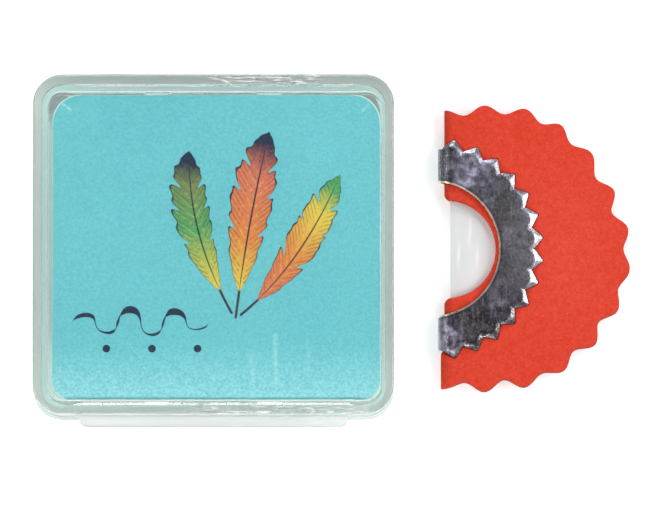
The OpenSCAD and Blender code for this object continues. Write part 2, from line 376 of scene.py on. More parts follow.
for side, node in ((-1, "hinge_strap_left"), (1, "hinge_strap_right")):
    start_x = case_mid.x + side * strap_spacing / 2 - strap_w / 2
    rings = []
    for i in range(turns + 1):
        a = math.radians(-90 + 180 * i / turns)
        rings.append([
            (start_x + across, back_y + (strap_bend + out) * math.cos(a),
             part_z + (strap_bend + out) * math.sin(a))
            for across, out in section
        ])
    strap = ring_shell(f"clear_strap_{'left' if side < 0 else 'right'}", rings, 40)
    face_outward(strap)
    strap.data.materials.append(styrene)
    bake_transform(strap)
    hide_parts(node)

# ---------------------------------------------------------------- Clear lid
# The lid is moulded from the same styrene: a flat top, walls that meet the base's, a lip
# that plugs into it, a thumb tab on the front and four nubs that hold the card up.
case_h, lip_in, lip_t, lip_z = 9, 1.05, 0.8, 3.3
bay_in, bay_fillet, brow_r = lip_in + lip_t, 0.3, 0.35
bay_forward, bay_right = 0.2, 0.11  # the walls of the bay are thinner at the front and right
bay_w, bay_d, top_z = case_w - 2 * bay_in, case_d - 2 * bay_in, case_h - 1
rim_h = case_h - 0.19  # the lid's top is a panel that stands a little above the rim round it
lid_section = [
    # the fillet is only a fine one on the side walls
    (inset, z, bay_forward, bay_right, bay_right + max(inset - bay_in, 0) * 0.8)
    for inset, z in (
        (bay_in + 0.6, top_z),
        *quarter(bay_in + bay_fillet, top_z - bay_fillet, bay_fillet, 90, 0),
        (bay_in, lip_z + 0.1), (bay_in - 0.03, lip_z + 0.03), (bay_in - 0.1, lip_z),
    )
] + [
    (lip_in + 0.1, lip_z), (lip_in + 0.03, lip_z + 0.03), (lip_in, lip_z + 0.1),
    (lip_in, part_z), (0.08, part_z), (0.02, part_z + 0.02), (0, part_z + 0.08),
    *quarter(brow_r, rim_h - brow_r, brow_r, 0, 90),
    (1.0, rim_h, 0.06), (1.13, rim_h, 0.12, 0, -0.9), (1.17, rim_h + 0.016, 0.12, 0, -1.1),
    (1.47, case_h - 0.016, 0.12, 0, -2.1), (1.51, case_h, 0.12, 0, -2.3),
    (1.8, case_h, 0.12, 0, -2.3),
]
lid = ring_shell("clear_lid", [rim_line(*point) for point in lid_section])

front = case_mid.y - case_d / 2
tab_half, tab_out, tab_sunk, tab_t, tab_r, tab_soft = 33.4 / 2, 1.3, 0.6, 0.9, 1.0, 0.24
tab_draft = 0.03  # it keeps the tab's underside off the lid's own, so that the two join cleanly
tab_front, tab_back = front - tab_out, front + tab_sunk
outline = [(tab_half, tab_back), (-tab_half, tab_back)]
for side, start in ((-1, 180), (1, 270)):
    for i in range(13):
        a = math.radians(start + 90 * i / 12)
        outline.append((
            side * (tab_half - tab_r) + tab_r * math.cos(a),
            tab_front + tab_r + tab_r * math.sin(a),
        ))
rings = []
for a in np.radians(range(0, 181, 15)):
    rise = tab_soft * (1 - math.cos(a))
    if a > math.pi / 2:
        rise = tab_t - tab_soft * (1 + math.cos(a))
    ring = []
    for x, y in outline:
        pull = Vector((0, 0))
        if y < tab_back:
            pull = Vector((x, y - tab_back)).normalized() * tab_soft * (1 - math.sin(a))
        y -= pull.y
        ring.append((
            case_mid.x + x - pull.x, y, part_z + rise + tab_draft * (y - tab_front),
        ))
    rings.append(ring)
tab = ring_shell("tab", rings)

nub_z, nub_low, nub_lip, nub_out, nub_root, nub_side, nub_half = 7.596, 0.95, 0.15, 0.7, 0.4, 7, 1.5
profile = [
    (nub_root, nub_z), (-nub_out, nub_z), (-nub_out, nub_z - nub_lip), (0, nub_z - nub_low),
    (nub_root, nub_z - nub_low),
]
nubs = []
for side in (-1, 1):
    bay_y = case_mid.y + side * bay_d / 2 - bay_forward
    for middle in (case_mid.x - nub_side, case_mid.x + nub_side):
        rings = [
            [(middle + end, bay_y + side * y, z) for y, z in profile]
            for end in (-nub_half, nub_half)
        ]
        nubs.append(face_outward(ring_shell("nub", rings)))
bead_out, bead_r, bead_w = latch_out + 0.05, 0.3, 14
bead = pin("bead", (case_mid.x, case_mid.y - bead_out, latch_z), bead_r, bead_w, "x")
machine(lid, [tab, *nubs, bead], "UNION")

relief_x, relief_y, relief_z = tab_half + 0.275, front + 0.45, part_z + 0.4
relief_r, relief_h, mark_in, mark_r, mark_deep = 0.55, 2.8, 2.3, 1.0, 0.12
cuts = [
    pin("relief", (case_mid.x + side * relief_x, relief_y, relief_z), relief_r, relief_h, "z", 44)
    for side in (-1, 1)
]
cuts += [
    pin("ejector", (
        case_mid.x + sx * (bay_w / 2 - mark_in), case_mid.y + sy * (bay_d / 2 - mark_in), top_z,
    ), mark_r, mark_deep, "z", 64)
    for sx in (-1, 1) for sy in (-1, 1)
]
machine(lid, cuts, "DIFFERENCE")
lid.data.materials.append(styrene)
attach(lid, "lid")
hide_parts("case_lid")

# ---------------------------------------------------------------- Title card
# A sheet of white card, printed turquoise on its upper face and cut with round corners.
# It lies face up against the lid's clear top, and its white core shows at the cut edge.
card_mid = Vector((case_mid.x + 0.36, case_mid.y - 0.37))
card_w, card_d, card_low, card_high = 40.8, 38.2, 7.62, 7.93
card_r, card_front_r = 3.4, 2.6
card_corners = (card_r, card_r, card_front_r, card_front_r)
card = ring_shell("title_card_sheet", [
    round_line(card_mid, (card_w, card_d), card_corners, inset, z, 24)
    for inset, z in (
        (0.06, card_low), (0, card_low + 0.05), (0, card_high - 0.06), (0.03, card_high - 0.02),
        (0.10, card_high), (0.16, card_high),
    )
], 40)


def ease(value, start, end):
    """Like from_to, with soft ends."""
    share = from_to(value, start, end)
    return share * share * (share * -2 + 3)


def bell(*offsets):
    """1 where every offset is 0, and gone where one is past about 2."""
    total = 0
    for off in offsets:
        total = off * off * -1 + total
    return total.do("EXPONENT")


def near_line(x, y, start, end, width):
    """1 on the straight line between two places in mm, and gone a few widths away from it."""
    run = Vector(end) - Vector(start)
    along = ((x - start[0]) * run.x + (y - start[1]) * run.y) / run.length_squared
    along = along.do("MAXIMUM", 0).do("MINIMUM", 1)
    return bell(
        (x - start[0] - along * run.x) / width, (y - start[1] - along * run.y) / width,
    )


ink, tree, shader = finish_of("turquoise_card", Roughness=0.55, IOR=1.45)
x, y, _ = here_in(tree)
fine = mottle(tree, 0.29, detail=5, sharp=(0.35, 0.68))
# Painted shade: a dark line along the card's front edge.
front_edge_shade = from_to(y - (card_mid.y - card_d / 2), 0.42, 0.16)
colour = paint(
    (0.153, 0.503, 0.591), (mottle(tree, 12, detail=3), (0.185, 0.554, 0.642)),
    (0.45, paint((0.135, 0.448, 0.530), (fine, (0.251, 0.663, 0.738)))),
    (ease(y, -11, -20), paint((0.239, 0.584, 0.674), (fine, (0.444, 0.790, 0.867)))),
    (front_edge_shade * 0.8, (0.05, 0.27, 0.34)),
)
# Marks on the card: the long light streaks are painted reflections, the two short light marks by
# the rear corners are painted glints, and the dark one is a crease.
reflected_streak, corner_glint, crease = (0.52, 0.83, 0.88), (0.66, 0.88, 0.88), (0.08, 0.30, 0.36)
for start, end, width, strength, tone in (
    ((-7.1, -11.0), (-6.9, -17.2), 0.27, 0.45, reflected_streak),
    ((-10.1, -13.6), (-9.7, -18.0), 0.30, 0.28, reflected_streak),
    ((-3.0, -11.5), (-2.9, -16.0), 0.25, 0.20, reflected_streak),
    ((-33.6, 18.0), (-32.6, 17.3), 0.13, 0.55, corner_glint),
    ((4.5, 17.9), (3.8, 17.1), 0.15, 0.40, corner_glint),
    ((-24.0, -11.9), (-17.2, -16.4), 0.05, 0.45, crease),
):
    mark = near_line(x, y, start, end, width) * strength * (fine * 0.8 + 0.5)
    colour = paint(colour, (mark, tone))
near_corner = from_to((x - card_mid.x).do("ABSOLUTE"), card_w / 2 - 4, card_w / 2 - 2)
near_corner = near_corner * from_to(y - card_mid.y, card_d / 2 - 4, card_d / 2 - 2)
from_edge = depth_in(tree, card_mid, card_w, card_d, card_r)
chipped = from_to(from_edge - near_corner * 0.10, 0.07, 0.02) * from_to(y, -8, 0)
set_up(shader, Base_Color=paint(colour, (chipped, (0.80, 0.84, 0.76))))
relief(shader, fine, 0.01)
core, tree, shader = finish_of("card_core", Roughness=0.8)
set_up(shader, Base_Color=paint(
    (0.72, 0.76, 0.73), (mottle(tree, 0.3), (0.86, 0.88, 0.85)),
))
card.data.materials.append(ink)
card.data.materials.append(core)
for face in card.data.polygons:
    face.material_index = 0 if face.normal.z > 0.9 else 1
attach(card, "lid")
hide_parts("title_card")

# ---------------------------------------------------------------- Printed design
# The card's upper face is printed in flat inks with three fanned feathers and, below them,
# a wavy line with dots. The inks are laid on the card, so they are sheets of no thickness.
def open_tree(name, sizes):
    """A new geometry tree with its sizes and its finish as named inputs."""
    tree = bpy.data.node_groups.new(name, "GeometryNodeTree")
    for entry in sizes:
        tree.interface.new_socket(name=entry, in_out="INPUT", socket_type="NodeSocketFloat")
    tree.interface.new_socket(name="Finish", in_out="INPUT", socket_type="NodeSocketMaterial")
    tree.interface.new_socket(name="Shape", in_out="OUTPUT", socket_type="NodeSocketGeometry")
    given = tree.nodes.new("NodeGroupInput")
    return tree, {entry: Sum(given.outputs[entry]) for entry in (*sizes, "Finish")}


def join_up(*nodes):
    """Links each node's first output to the next one's first input, and returns the last."""
    for first, second in zip(nodes, nodes[1:]):
        feed(second.inputs[0], first.outputs[0])
    return nodes[-1]


def close_tree(tree, finish, last, offset):
    """Brings the shape from mm about its own middle to its place, and gives it its finish."""
    to_place = set_up(
        tree.nodes.new("GeometryNodeTransform"), Scale=(MM, MM, MM),
        Translation=[c * MM for c in offset],
    )
    dress = set_up(tree.nodes.new("GeometryNodeSetMaterial"), Material=finish)
    join_up(
        last, to_place, tree.nodes.new("GeometryNodeRealizeInstances"), dress,
        tree.nodes.new("NodeGroupOutput"),
    )


def node_piece(name, tree, finish, sizes):
    """Runs a geometry tree with its named sizes on an empty object and keeps the plain mesh."""
    piece = placed(name, bpy.data.meshes.new(name))
    change = piece.modifiers.new("shape", "NODES")
    change.node_group = tree
    for entry in tree.interface.items_tree:
        if entry.in_out == "INPUT":
            change[entry.identifier] = finish if entry.name == "Finish" else sizes[entry.name]
    keep_shape(piece)
    return piece


def flat_grid(tree, width, depth, columns, rows):
    """A flat grid, with the X and the Y of its points."""
    grid = set_up(
        tree.nodes.new("GeometryNodeMeshGrid"), Size_X=width, Size_Y=depth, Vertices_X=columns,
        Vertices_Y=rows,
    )
    place = tree.nodes.new("GeometryNodeInputPosition").outputs["Position"]
    spot = set_up(tree.nodes.new("ShaderNodeSeparateXYZ"), Vector=place)
    return grid, Sum(spot.outputs["X"]), Sum(spot.outputs["Y"])


def move_points(tree, *places):
    """A node that moves the points to X, Y and, where it is given, Z."""
    place = set_up(tree.nodes.new("ShaderNodeCombineXYZ"), **dict(zip("XYZ", places)))
    return set_up(tree.nodes.new("GeometryNodeSetPosition"), Position=place.outputs["Vector"])


def bent_grid(tree, size, columns, rows, shape):
    """A flat grid, 1 long and 2 across, whose points are moved to where the formula says."""
    last, along, across = flat_grid(tree, 1, 2, columns, rows)
    along = along + 0.5
    for name, value in (("along", along), ("across", across)):
        keep = tree.nodes.new("GeometryNodeStoreNamedAttribute")
        keep.data_type, keep.domain = "FLOAT", "POINT"
        last = join_up(last, set_up(keep, Name=name, Value=value))
    return join_up(last, move_points(tree, *shape(along, across, size)))


quill_long = 0.15  # the bare part of a feather's shaft, of its whole length


def feather_shape(along, across, size):
    """Points of a vane whose barbs lean toward the tip, about a shaft that is a bent line."""
    seed, off_shaft = size["Seed"], across.do("ABSOLUTE")
    vane = ((along - quill_long) / (1 - quill_long)).do("MAXIMUM", 0)
    fullness = vane.do("POWER", 0.55) * (vane.do("POWER", 1.9) * -1 + 1.0001).do("POWER", 0.95)
    ragged = (along * 47 + seed).do("SINE") * 0.05 + (along * 83 + seed * 2).do("SINE") * 0.04
    splits = 0
    for k, (at, deep) in enumerate(((0.38, 0.42), (0.56, 0.30), (0.71, 0.45))):
        splits = bell((along - at - seed * 0.006 * (k + 1)) * 70) * deep + splits
    edge = (across * across) * (ragged - splits) + 1
    narrow = across.do("LESS_THAN", 0) * -0.24 + 1
    reach = off_shaft * fullness * 1.62 * edge * narrow * size["Width"] / 2
    reach = reach.do("MAXIMUM", off_shaft * 0.16 * (along * -0.5 + 1))
    run = along * -1 + 1
    x, y = (
        run * run * size[f"Quill {a}"] + run * along * 2 * size[f"Bend {a}"]
        + along * along * size[f"Tip {a}"]
        for a in "XY"
    )
    slope_x, slope_y = (
        run * (size[f"Bend {a}"] - size[f"Quill {a}"])
        + along * (size[f"Tip {a}"] - size[f"Bend {a}"])
        for a in "XY"
    )
    pace = (slope_x * slope_x + slope_y * slope_y).do("SQRT")
    go_x, go_y = slope_x / pace, slope_y / pace
    lean, side = reach * 1.05, reach * across.do("SIGN")
    return x + go_x * lean - go_y * side, y + go_y * lean + go_x * side


def feather_ink(name, colours):
    """Flat inks along a feather, with darker strokes between its barbs, a shaft and an outline."""
    ink, tree, shader = finish_of(name, Roughness=0.5, IOR=1.45)
    along, across = (tree.nodes.new("ShaderNodeAttribute") for _ in range(2))
    along.attribute_name, across.attribute_name = "along", "across"
    along, across = Sum(along.outputs["Fac"]), Sum(across.outputs["Fac"])
    off_shaft = across.do("ABSOLUTE")
    grainy = mottle(tree, 0.5, -0.5, 0.5, detail=3)
    ramp = tree.nodes.new("ShaderNodeValToRGB")
    while len(ramp.color_ramp.elements) < len(colours):
        ramp.color_ramp.elements.new(0.5)
    for element, (place, colour) in zip(ramp.color_ramp.elements, colours):
        element.position, element.color = place, (*colour, 1)
    set_up(ramp, Fac=along + grainy * 0.05 + across * across * 0.06)
    stroke = (along * 34 + grainy * 0.35).do("FRACT").do("LESS_THAN", 0.24)
    stroke = stroke * (off_shaft + grainy * 0.7).do("GREATER_THAN", 0.38)
    gleam = (along * 17 + grainy * 0.5).do("FRACT").do("LESS_THAN", 0.16)
    gleam = gleam * (off_shaft + grainy).do("LESS_THAN", 0.62) * from_to(along, 0.80, 0.74)
    outline = (off_shaft + grainy * 0.02).do("GREATER_THAN", 0.93)
    dark = off_shaft.do("LESS_THAN", 0.045).do("MAXIMUM", outline)
    dark = dark.do("MAXIMUM", along.do("LESS_THAN", quill_long))
    set_up(shader, Base_Color=paint(
        ramp.outputs["Color"], (gleam * 0.35, (0.95, 0.62, 0.16)),
        (stroke * 0.55, (0.045, 0.035, 0.06)), (dark * 0.95, (0.012, 0.016, 0.045)),
    ))
    return ink


def laid_on_card(piece):
    """The inks move with the lid, as the card does."""
    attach(piece, "lid")


orange, salmon, yellow = (0.86, 0.22, 0.05), (0.80, 0.17, 0.10), (0.90, 0.58, 0.07)
green, olive, navy = (0.10, 0.36, 0.12), (0.22, 0.24, 0.08), (0.015, 0.02, 0.06)
names = ("Quill X", "Quill Y", "Bend X", "Bend Y", "Tip X", "Tip Y", "Width", "Seed")
# each feather's sizes in that order, about the card's middle, its height on the card, its inks
for side, values, above, colours in (
    ("left", (2.0, -8.4, -3.6, 1.6, -3.4, 12.0, 6.2, 1.0), 0.006,
     [(0.15, yellow), (0.5, green), (0.78, olive), (0.92, navy)]),
    ("middle", (2.4, -9.0, 3.8, 2.6, 6.6, 14.4, 7.2, 2.3), 0.018,
     [(0.15, yellow), (0.42, orange), (0.74, salmon), (0.93, navy)]),
    ("right", (2.9, -8.6, 10.6, -2.4, 15.4, 9.0, 6.0, 4.1), 0.012,
     [(0.15, salmon), (0.45, orange), (0.76, yellow), (0.92, green)]),
):
    sizes = dict(zip(names, values))
    tree, size = open_tree(f"printed_feather_{side}", sizes)
    vane = bent_grid(tree, size, 241, 41, feather_shape)
    close_tree(tree, size["Finish"], vane, (card_mid.x, card_mid.y, card_high + above))
    ink = feather_ink(f"feather_ink_{side}", colours)
    laid_on_card(node_piece(f"print_feather_{side}", tree, ink, sizes))


def wave_shape(along, across, size):
    """Points of a pen line that swells and thins along a wave."""
    phase = along * 2 * math.pi * size["Waves"]
    fade = (along * math.pi).do("SINE")
    pen = (phase + 0.9).do("SINE") * 0.5 + 0.62
    half = size["Pen width"] / 2 * pen * (fade + 0.001).do("POWER", 0.35)
    x = along * size["Length"] - size["Length"] / 2 - (phase * 2).do("SINE") * 0.35
    y = phase.do("SINE") * size["Height"] * (fade * 0.6 + 0.4)
    return x + half * across * 0.5, y + half * across


navy_ink, tree, shader = finish_of("navy_ink", Roughness=0.5, IOR=1.45)
set_up(shader, Base_Color=paint(
    (0.010, 0.014, 0.045), (mottle(tree, 0.4), (0.022, 0.030, 0.085)),
))
sizes = {
    "Length": 17.0, "Height": 1.6, "Waves": 3.0, "Pen width": 1.0, "Dots": 3.0,
    "Dot radius": 0.48, "Dot spacing": 5.67,
}
dots_x, dots_y, wave_off, wave_up = 1.4, -3.3, 9.4, 0.006
tree, size = open_tree("printed_wave", sizes)
step_by = set_up(tree.nodes.new("ShaderNodeCombineXYZ"), X=size["Dot spacing"])
start_at = set_up(
    tree.nodes.new("ShaderNodeCombineXYZ"), X=size["Dot spacing"] * -1 + dots_x, Y=dots_y,
)
whole = tree.nodes.new("FunctionNodeFloatToInt")
feed(whole.inputs[0], size["Dots"])
row = set_up(
    tree.nodes.new("GeometryNodeMeshLine"), Count=whole.outputs[0],
    Start_Location=start_at.outputs["Vector"], Offset=step_by.outputs["Vector"],
)
dot = tree.nodes.new("GeometryNodeMeshCircle")
dot.fill_type = "NGON"
set_up(dot, Vertices=28, Radius=size["Dot radius"])
dots = set_up(
    tree.nodes.new("GeometryNodeInstanceOnPoints"), Points=row.outputs["Mesh"],
    Instance=dot.outputs["Mesh"],
)
both = join_up(dots, tree.nodes.new("GeometryNodeJoinGeometry"))
join_up(bent_grid(tree, size, 281, 3, wave_shape), both)
wave_at = (card_mid.x - wave_off, card_mid.y - wave_off, card_high + wave_up)
close_tree(tree, size["Finish"], both, wave_at)
laid_on_card(node_piece("print_wave", tree, navy_ink, sizes))

# ---------------------------------------------------------------- Red skirt
# A disc of red coated leather with a scalloped edge is folded in two round the film. It
# has a window cut across the fold, soft cut edges, and dents where the ring's teeth press.
call = Vector((14.0198, 0.425, 1.35))
skirt_r, pitch, disc_x = 17.8, 16.7, 5.55
window_x, corner_far, corner_y = 0.25, 7.15, 0.65
leaf, gap, ring_x, ring_in = 1.0, 0.05, -1.6, 8.5
fold_r = leaf + gap
fold_line = fold_r - fold_r * math.pi / 2
tooth_out, tooth_turn, end_turn = 13.86, math.radians(12), 84
# each tooth is bent down past a lobe and again at its brim, each a little unlike the next
lobe_far, lobe_r, lobe_slope, brim_w, brim_slope = 9.75, 3.1, 0.33, 0.42, 0.26
lobe_soft, brim_soft, unlike, unlike_step, unlike_start = 0.0064, 0.0025, 0.12, 7.3, 1.7
flank_x, flank_y = 0.7035, 0.7105  # square to a tooth's flank
seat_deep, bulge_h, under_ring, cut_soft = 0.025, 0.035, 0.02, 0.06
bulged_from, ring_to, press_in, press_out = 12.4, 12.6, 12.1, 14.4
fold_out, fold_out_y, fold_out_fade = 0.45, -12.4, 0.8


def unfold(x):
    """Distance along the disc's outer face, as if the fold were opened flat."""
    bent = fold_r - fold_r * np.arcsin(np.clip((fold_r - x) / fold_r, 0, 1))
    return np.where(x < fold_r, bent, x)


def disc_line(middle, reach, angles):
    """The part of an outline that lies on the folded disc, as if the fold were opened flat."""
    line = np.stack([middle + reach * np.cos(angles), reach * np.sin(angles)], 1)
    line = line[line[:, 0] > 0]
    line[:, 0] = unfold(line[:, 0])
    return line


def stations(points, moved_in=0.0, count=601):
    """Points at even angles about the ring's centre along an outline on the opened disc."""
    angle = np.arctan2(points[:, 1], points[:, 0] - ring_x)
    order = np.argsort(angle)
    angle = angle[order]
    reach = np.hypot(points[:, 0] - ring_x, points[:, 1])[order]
    inside = reach * np.cos(angle) > fold_line - ring_x + 1e-6
    last = angle[inside].max()
    at = np.linspace(-last, last, count)
    r = np.interp(at, angle, reach)
    line = np.stack([ring_x + r * np.cos(at), r * np.sin(at)], 1)
    along = np.gradient(line, axis=0)
    across = np.stack([-along[:, 1], along[:, 0]], 1)
    line += moved_in * across / np.linalg.norm(across, axis=1)[:, None]
    line[[0, -1], 0] = fold_line
    return line


def circle_line(radius):
    """A circle about the ring's centre, as an outline."""
    a = np.radians(np.linspace(-100, 100, 4001))
    line = np.stack([ring_x + radius * np.cos(a), radius * np.sin(a)], 1)
    return line[line[:, 0] > fold_line - 0.01]


degrees = np.linspace(-125, 125, 12001)


def swell(middle, width):
    """A smooth local change, 1 at an angle of the disc's edge and gone a few widths away."""
    return np.exp(-((degrees - middle) / width) ** 2)


valley_depths = (1.0, 1.0, 1.4, 0.95, 1.3, 1.35, 0.9, 0.9, 1.35, 1.3, 1.1, 1.05, 1.1, 1.0, 1.0)
lean = degrees - 2 * swell(52, 14)
valley = np.rint(lean / pitch)
depth = np.take(valley_depths, np.clip(valley + 7, 0, 14).astype(int))
swing = (
    skirt_r - 0.5 * swell(26, 19) + 0.4 * swell(76, 22) + 0.7 * swell(112, 9)
    + 0.9 * swell(-113, 9) - depth * (1 + np.cos(2 * np.pi * (lean / pitch - valley))) / 2
)
rim = disc_line(disc_x, swing, np.radians(degrees))
angles = np.radians(np.linspace(-92.5, 92.5, 8001))
past = np.maximum(np.abs(angles) - math.acos(corner_y / corner_far), 0)
flare = corner_far * np.cos(past) - np.sqrt(1 - (corner_far * np.sin(past)) ** 2)
window = disc_line(window_x, flare, angles)


def tooth_press(line):
    """How deep in mm the ring's teeth have pressed the leather down at each point."""
    x, y = line[:, 0] - ring_x, line[:, 1]
    radius, angle = np.hypot(x, y), np.arctan2(y, x)
    number = np.floor(angle / tooth_turn)
    local = (angle / tooth_turn - number - 0.5) * tooth_turn
    px, py = radius * np.cos(local), radius * np.sin(local)
    past = np.hypot(px - lobe_far, py) - lobe_r
    drop = lobe_slope * (past + np.sqrt(past**2 + lobe_soft)) / 2
    outside = (px - tooth_out) * flank_x + np.abs(py) * flank_y
    brim = outside + brim_w
    drop += brim_slope * (brim + np.sqrt(brim**2 + brim_soft)) / 2
    drop *= 1 + unlike * np.sin(unlike_step * number + unlike_start)
    edge = np.clip((outside - 0.03) / 0.14, 0, 1)
    seat = (drop + seat_deep) * (1 - edge * edge * (3 - 2 * edge))
    bulge = bulge_h * np.exp(-((outside - 0.26) / 0.16) ** 2)
    under = np.clip((radius - ring_in) / 0.2, 0, 1)
    toothed = (np.abs(angle) < math.radians(end_turn + 0.5)) & (radius < 15)
    return under * np.where(
        toothed, seat - bulge * (radius > bulged_from), under_ring * (radius < ring_to)
    )


rounding = [(0.0, 0.14), (0.01, 0.08), (0.04, 0.035), (0.08, 0.01), (0.14, 0.0)]
window_lines = [(stations(window, -moved), fold_r - low) for moved, low in rounding]
rim_lines = [(stations(rim, moved), fold_r - low) for moved, low in rounding[::-1]]
zone_in, zone_out = stations(circle_line(press_in)), stations(circle_line(press_out))
rows = [(stations(window, -cut_soft), gap), (stations(window), gap + cut_soft)] + window_lines
for first, second, steps in (
    (window_lines[-1][0], zone_in, 10), (zone_in, zone_out, 28), (zone_out, rim_lines[0][0], 12),
):
    rows += [(first + (second - first) * i / steps, fold_r) for i in range(1, steps + 1)]
rows.pop()
rows += rim_lines + [(stations(rim), gap + cut_soft), (stations(rim, cut_soft), gap)]
rows += [
    ((rim_lines[0][0] * (4 - i) + window_lines[-1][0] * i) / 4, gap) for i in range(1, 4)
]
sheet = np.zeros((len(rows), len(rows[0][0]), 3))
for k, (line, level) in enumerate(rows):
    height = np.full(len(line), float(level))
    if level == fold_r:
        height -= tooth_press(line)
    bend = np.maximum(fold_r - line[:, 0], 0) / fold_r
    sheet[k, :, 0] = np.maximum(line[:, 0], fold_r) - height * np.sin(bend)
    # inside the bend the leather is crowded together, so its ends draw in to where the bend starts
    half = len(line) // 2
    crowded = np.where(
        np.arange(len(line)) < half,
        np.interp(fold_r, line[:half, 0], line[:half, 1]),
        np.interp(fold_r, line[:half:-1, 0], line[:half:-1, 1]),
    )
    share = np.where(bend > 0, height / fold_r, 1)
    sheet[k, :, 1] = crowded + (line[:, 1] - crowded) * share
    sheet[k, :, 2] = height * np.cos(bend)
# the folded edge stands out a little further past the ring's front end than past its rear one
past_ring = np.clip((fold_out_y - sheet[..., 1]) / fold_out_fade, 0, 1)
by_fold = np.exp(-((sheet[..., 0] / fold_out_fade) ** 2))
sheet[..., 0] -= fold_out * past_ring**2 * (3 - 2 * past_ring) * by_fold
under_leaf = sheet[:, 1:-1][:, ::-1] * (1, 1, -1)
sheet = np.concatenate([sheet, under_leaf], axis=1) + tuple(call)
number = np.arange(sheet.size // 3).reshape(sheet.shape[:2])
faces = np.stack([
    number, np.roll(number, -1, 0), np.roll(number, (-1, -1), (0, 1)), np.roll(number, -1, 1),
], 2)
skirt = new_piece("red_skirt", sheet.reshape(-1, 3), faces.reshape(-1, 4).tolist(), 50)

leather, tree, shader = finish_of(
    "red_leather", Roughness=0.75, IOR=1.45, Specular_IOR_Level=0.25,
)
x, y, z = here_in(tree)
x, y = x - (call.x + ring_x), y - call.y
cloud = mottle(tree, 3.5)
grain = mottle(tree, 0.28, detail=3, sharp=(0.35, 0.65))
# Lighter and rosier toward the right: painted sheen from the light on that side, mixed with random
# cloudy tone.
right_sheen_and_tone = bell((x - 16) / 7, y / 9) * 0.6 + cloud * 0.4
blotch = mottle(tree, 0.7, detail=3, sharp=(0.36, 0.64))
fleck = mottle(tree, 0.30, detail=1, sharp=(0.69, 0.77))
cut_edge = from_to((z - call.z).do("ABSOLUTE"), 1.03, 0.94) * from_to(x, 2.6, 3.0)
cut_edge = cut_edge * from_to((x * x + y * y).do("SQRT"), 14.8, 15.1)
set_up(shader, Base_Color=paint(
    (0.58, 0.031, 0.0065), (right_sheen_and_tone, (0.69, 0.066, 0.043)),
    (0.35, paint((0.52, 0.030, 0.009), (blotch, (0.74, 0.064, 0.038)))),
    (0.36, paint((0.53, 0.028, 0.012), (grain, (0.75, 0.070, 0.034)))),
    (cut_edge * 0.55, (0.24, 0.040, 0.012)), (fleck, (0.72, 0.105, 0.062)),
))
relief(shader, cloud, 0.06, relief(shader, grain, 0.03))
skirt.data.materials.append(leather)
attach(skirt, "call")
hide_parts("call_skirt")

# ---------------------------------------------------------------- Toothed ring
# A ring stamped from tin plate with thirty pointed teeth. It is folded in two over the
# disc, and its teeth are bent down and crimped into the leather on both faces.
tin, tree, shader = finish_of("tin_plate", Metallic=1.0)
x, y, _ = here_in(tree)
x, y = x - call.x, y - call.y
smudge = mottle(tree, 4.2, detail=5, sharp=(0.42, 0.60))
scuffs = mottle(tree, 1.1, detail=6, sharp=(0.42, 0.60))
spots = mottle(tree, 0.30, detail=3, sharp=(0.52, 0.70))
pits = mottle(tree, 0.42, sharp=(0.52, 0.66))
scratches = mottle(tree, 0.22, detail=2, stretch=(1, 0.12, 1), sharp=(0.56, 0.72))
low_side = ease(y, -1 - call.y, -9 - call.y)
bright_side = from_to(x, 6, 9.5) * from_to(y.do("ABSOLUTE"), 8, 4)
dark_end = from_to(x, 1.4, 0.9) * from_to(y, 0, 1)
sheen = 0
for patch_x, patch_y, spread, strength in (
    (3.2, 9.3, 2.3, 1.0), (5.2, 6.4, 1.2, 0.4), (0.4, -10.8, 1.9, 0.8), (6.8, -7.4, 1.3, 0.4),
):
    sheen = bell((x - patch_x) / spread, (y - patch_y) / spread) * strength + sheen
sheen = sheen * (scuffs * 0.75 + 0.25)
from_bore = ((x - ring_x) * (x - ring_x) + y * y).do("SQRT") - ring_in
bore_shade = from_to(from_bore, 0.50, 0.30) * from_to(from_bore, 0.10, 0.16)
bore_gleam = from_to(from_bore, 0.17, 0.11)
set_up(shader, Base_Color=paint(
    (0.262, 0.248, 0.262), (smudge, (0.37, 0.345, 0.435)),
    (scuffs, paint((0.187, 0.182, 0.195), (smudge, (0.52, 0.488, 0.63)))),
    (low_side * 0.9, paint((0.082, 0.069, 0.064), (scuffs, (0.155, 0.133, 0.133)))),
    (bright_side * 0.5, (0.62, 0.60, 0.66)), (dark_end * 0.8, (0.10, 0.10, 0.11)),
    (sheen, (0.74, 0.69, 0.98)), (pits * 0.45, (0.10, 0.095, 0.12)),
    (spots * 0.45, (0.78, 0.77, 0.84)), (scratches * 0.45, (0.70, 0.69, 0.74)),
    (bore_shade * 0.55, (0.10, 0.095, 0.09)), (bore_gleam * 0.9, (1.0, 0.95, 0.80)),
))
set_up(shader, Roughness=mottle(tree, 1.1, 0.25, 0.38) + sheen * 0.14)
dint = relief(shader, mottle(tree, 1.1, detail=2), 0.02)
dint = relief(shader, scuffs, 0.006, dint)
relief(shader, spots, 0.004, dint)

sizes = {
    "Inner radius": ring_in, "Root radius": 12.597, "Tip radius": tooth_out, "Teeth": 30.0,
    "Centre behind fold": -ring_x, "Fold radius": 1.35, "Fold place": 0.89,
    "Tooth slope": lobe_slope, "Brim width": brim_w, "Brim slope": brim_slope,
}


def above_none(value, soft):
    """The value where it is above 0, and 0 below, with a soft bend between the two."""
    return (value + (value * value + soft).do("SQRT")) / 2


